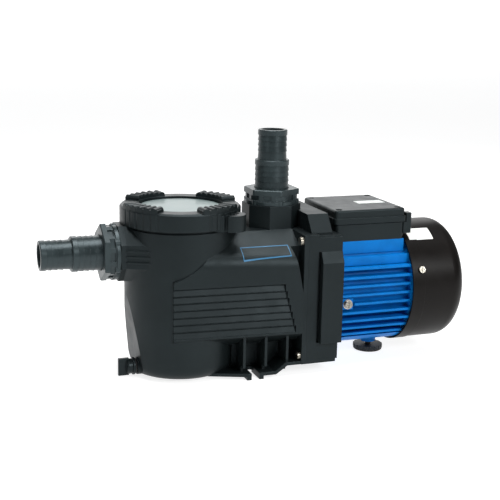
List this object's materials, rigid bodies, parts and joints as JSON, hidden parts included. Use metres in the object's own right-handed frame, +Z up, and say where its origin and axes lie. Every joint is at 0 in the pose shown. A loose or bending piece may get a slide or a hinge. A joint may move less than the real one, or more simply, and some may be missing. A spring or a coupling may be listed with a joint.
{
  "type": "pool circulation pump",
  "caption": "Self-priming pool pump: strainer pot with a clear screw-down lid, barbed hose unions, moulded volute housing and a finned fan-cooled electric motor.",
  "frame": {"origin": "on the floor, midway between the two bolt slots of the housing's foot", "axes": "+X along the shaft from the suction end to the motor, +Z up, +Y to the side away from the drain plug; right-handed"},
  "size_m": [0.4792, 0.148, 0.2657],
  "materials": {
    "housing_plastic": "glass-filled black plastic, semi-matt",
    "bracket_plastic": "glass-filled black plastic, semi-matt",
    "ring_plastic": "glass-filled black plastic, semi-matt",
    "union_plastic": "black plastic, slightly glossy",
    "drain_plastic": "black plastic",
    "basket_plastic": "pale grey plastic",
    "clear_lid": "clear moulded plastic with a pale green-grey cast",
    "seal_rubber": "black rubber",
    "seal_ceramic": "off-white ceramic",
    "seal_carbon": "dark carbon",
    "impeller_plastic": "black plastic",
    "zinc_steel": "zinc-plated steel",
    "stainless": "stainless steel",
    "bright_steel": "ground bearing steel",
    "motor_blue": "blue enamel on aluminium",
    "cover_paint": "black enamel on sheet steel",
    "box_plastic": "black plastic",
    "lamination": "stacked electrical steel",
    "copper_winding": "varnished copper wire",
    "fan_plastic": "black plastic",
    "capacitor_case": "white plastic case",
    "gland_plastic": "black plastic",
    "foot_rubber": "black rubber"
  },
  "bodies": {
    "housing": {"pump_housing": "housing_plastic", "motor_bracket": "bracket_plastic", "housing_seal": "seal_rubber", "flange_screws": "zinc_steel", "diffuser": "impeller_plastic", "seal_seat": "seal_ceramic", "seal_seat_cup": "seal_rubber", "motor_shell": "motor_blue", "stator_core": "lamination", "stator_windings": "copper_winding", "drive_end_shield": "motor_blue", "rear_end_shield": "motor_blue", "tie_rods": "zinc_steel", "bearing_outer_rings": "bright_steel", "bearing_balls": "bright_steel", "fan_cover": "cover_paint", "fan_cover_screws": "zinc_steel", "terminal_box_base": "box_plastic", "terminal_box_gasket": "seal_rubber", "terminal_box_lid": "box_plastic", "terminal_lid_screws": "zinc_steel", "capacitor": "capacitor_case", "terminal_block": "fan_plastic", "cable_gland_body": "gland_plastic", "cable_gland_seal": "seal_rubber", "cable_gland_nut": "gland_plastic", "earth_screw": "zinc_steel", "earth_washer": "stainless"},
    "rotor": {"motor_shaft": "bright_steel", "rotor_core": "lamination", "bearing_inner_rings": "bright_steel", "cooling_fan": "fan_plastic", "fan_clip": "stainless", "impeller": "impeller_plastic", "impeller_nut": "stainless", "seal_face": "seal_carbon", "seal_bellows": "seal_rubber", "water_slinger": "seal_rubber"},
    "strainer_lid": {"lid": "clear_lid", "lid_seal": "seal_rubber"},
    "lid_lock_ring": {"lock_ring": "ring_plastic"},
    "basket": {"strainer_basket": "basket_plastic"},
    "basket_bail": {"basket_handle": "basket_plastic"},
    "suction_hose_tail": {"suction_tail": "union_plastic", "suction_gasket": "seal_rubber"},
    "suction_union_nut": {"suction_nut": "union_plastic"},
    "discharge_hose_tail": {"discharge_tail": "union_plastic", "discharge_gasket": "seal_rubber"},
    "discharge_union_nut": {"discharge_nut": "union_plastic"},
    "drain_o_ring": {"drain_seal": "seal_rubber"},
    "drain_closure": {"drain_plug": "drain_plastic"},
    "levelling_pad": {"foot_pad": "foot_rubber"},
    "levelling_screw": {"foot_knob": "fan_plastic", "foot_stud": "zinc_steel"}
  },
  "joints": [
    {"name": "rotor_spin", "type": "hinge", "parent": "housing", "child": "rotor", "pos_m": [0.05, 0, 0.085], "axis": [1, 0, 0], "continuous": true},
    {"name": "lid_lift", "type": "slide", "parent": "housing", "child": "strainer_lid", "axis": [0, 0, 1], "range_m": [0, 0.28]},
    {"name": "lock_ring_turn", "type": "hinge", "parent": "strainer_lid", "child": "lid_lock_ring", "pos_m": [-0.067, 0, 0.173], "axis": [0, 0, 1], "range_deg": [0, 25]},
    {"name": "basket_lift", "type": "slide", "parent": "housing", "child": "basket", "axis": [0, 0, 1], "range_m": [0, 0.155]},
    {"name": "basket_handle_swing", "type": "hinge", "parent": "basket", "child": "basket_bail", "pos_m": [-0.067, 0, 0.17005], "axis": [0, -1, 0], "range_deg": [0, 81]},
    {"name": "suction_nut_turn", "type": "hinge", "parent": "suction_hose_tail", "child": "suction_union_nut", "pos_m": [-0.145, 0, 0.137], "axis": [-1, 0, 0], "range_deg": [0, 1080]},
    {"name": "suction_tail_slide", "type": "slide", "parent": "housing", "child": "suction_hose_tail", "axis": [-1, 0, 0], "range_m": [0, 0.007]},
    {"name": "discharge_nut_turn", "type": "hinge", "parent": "discharge_hose_tail", "child": "discharge_union_nut", "pos_m": [0.039, 0, 0.19], "axis": [0, 0, 1], "range_deg": [0, 1080]},
    {"name": "discharge_tail_slide", "type": "slide", "parent": "housing", "child": "discharge_hose_tail", "axis": [0, 0, 1], "range_m": [0, 0.007]},
    {"name": "drain_plug_turn", "type": "hinge", "parent": "drain_o_ring", "child": "drain_closure", "pos_m": [-0.121, -0.016, 0.0115], "axis": [-1, 0, 0], "range_deg": [0, 1080]},
    {"name": "drain_seal_slide", "type": "slide", "parent": "housing", "child": "drain_o_ring", "axis": [-1, 0, 0], "range_m": [0, 0.0076]},
    {"name": "levelling_knob_turn", "type": "hinge", "parent": "levelling_pad", "child": "levelling_screw", "pos_m": [0.168, 0, 0.004], "axis": [0, 0, -1], "range_deg": [0, 1440]},
    {"name": "levelling_pad_slide", "type": "slide", "parent": "housing", "child": "levelling_pad", "axis": [0, 0, -1], "range_m": [0, 0.0051]}
  ],
  "couplings": [
    {"joint": "basket_lift", "follows": "lid_lift", "ratio": 0.55},
    {"joint": "basket_handle_swing", "follows": "lid_lift", "rad_per_m": 5},
    {"joint": "suction_tail_slide", "follows": "suction_nut_turn", "m_per_rad": 0.000366},
    {"joint": "discharge_tail_slide", "follows": "discharge_nut_turn", "m_per_rad": 0.000366},
    {"joint": "drain_seal_slide", "follows": "drain_plug_turn", "m_per_rad": 0.000398},
    {"joint": "levelling_pad_slide", "follows": "levelling_knob_turn", "m_per_rad": 0.000199}
  ]
}
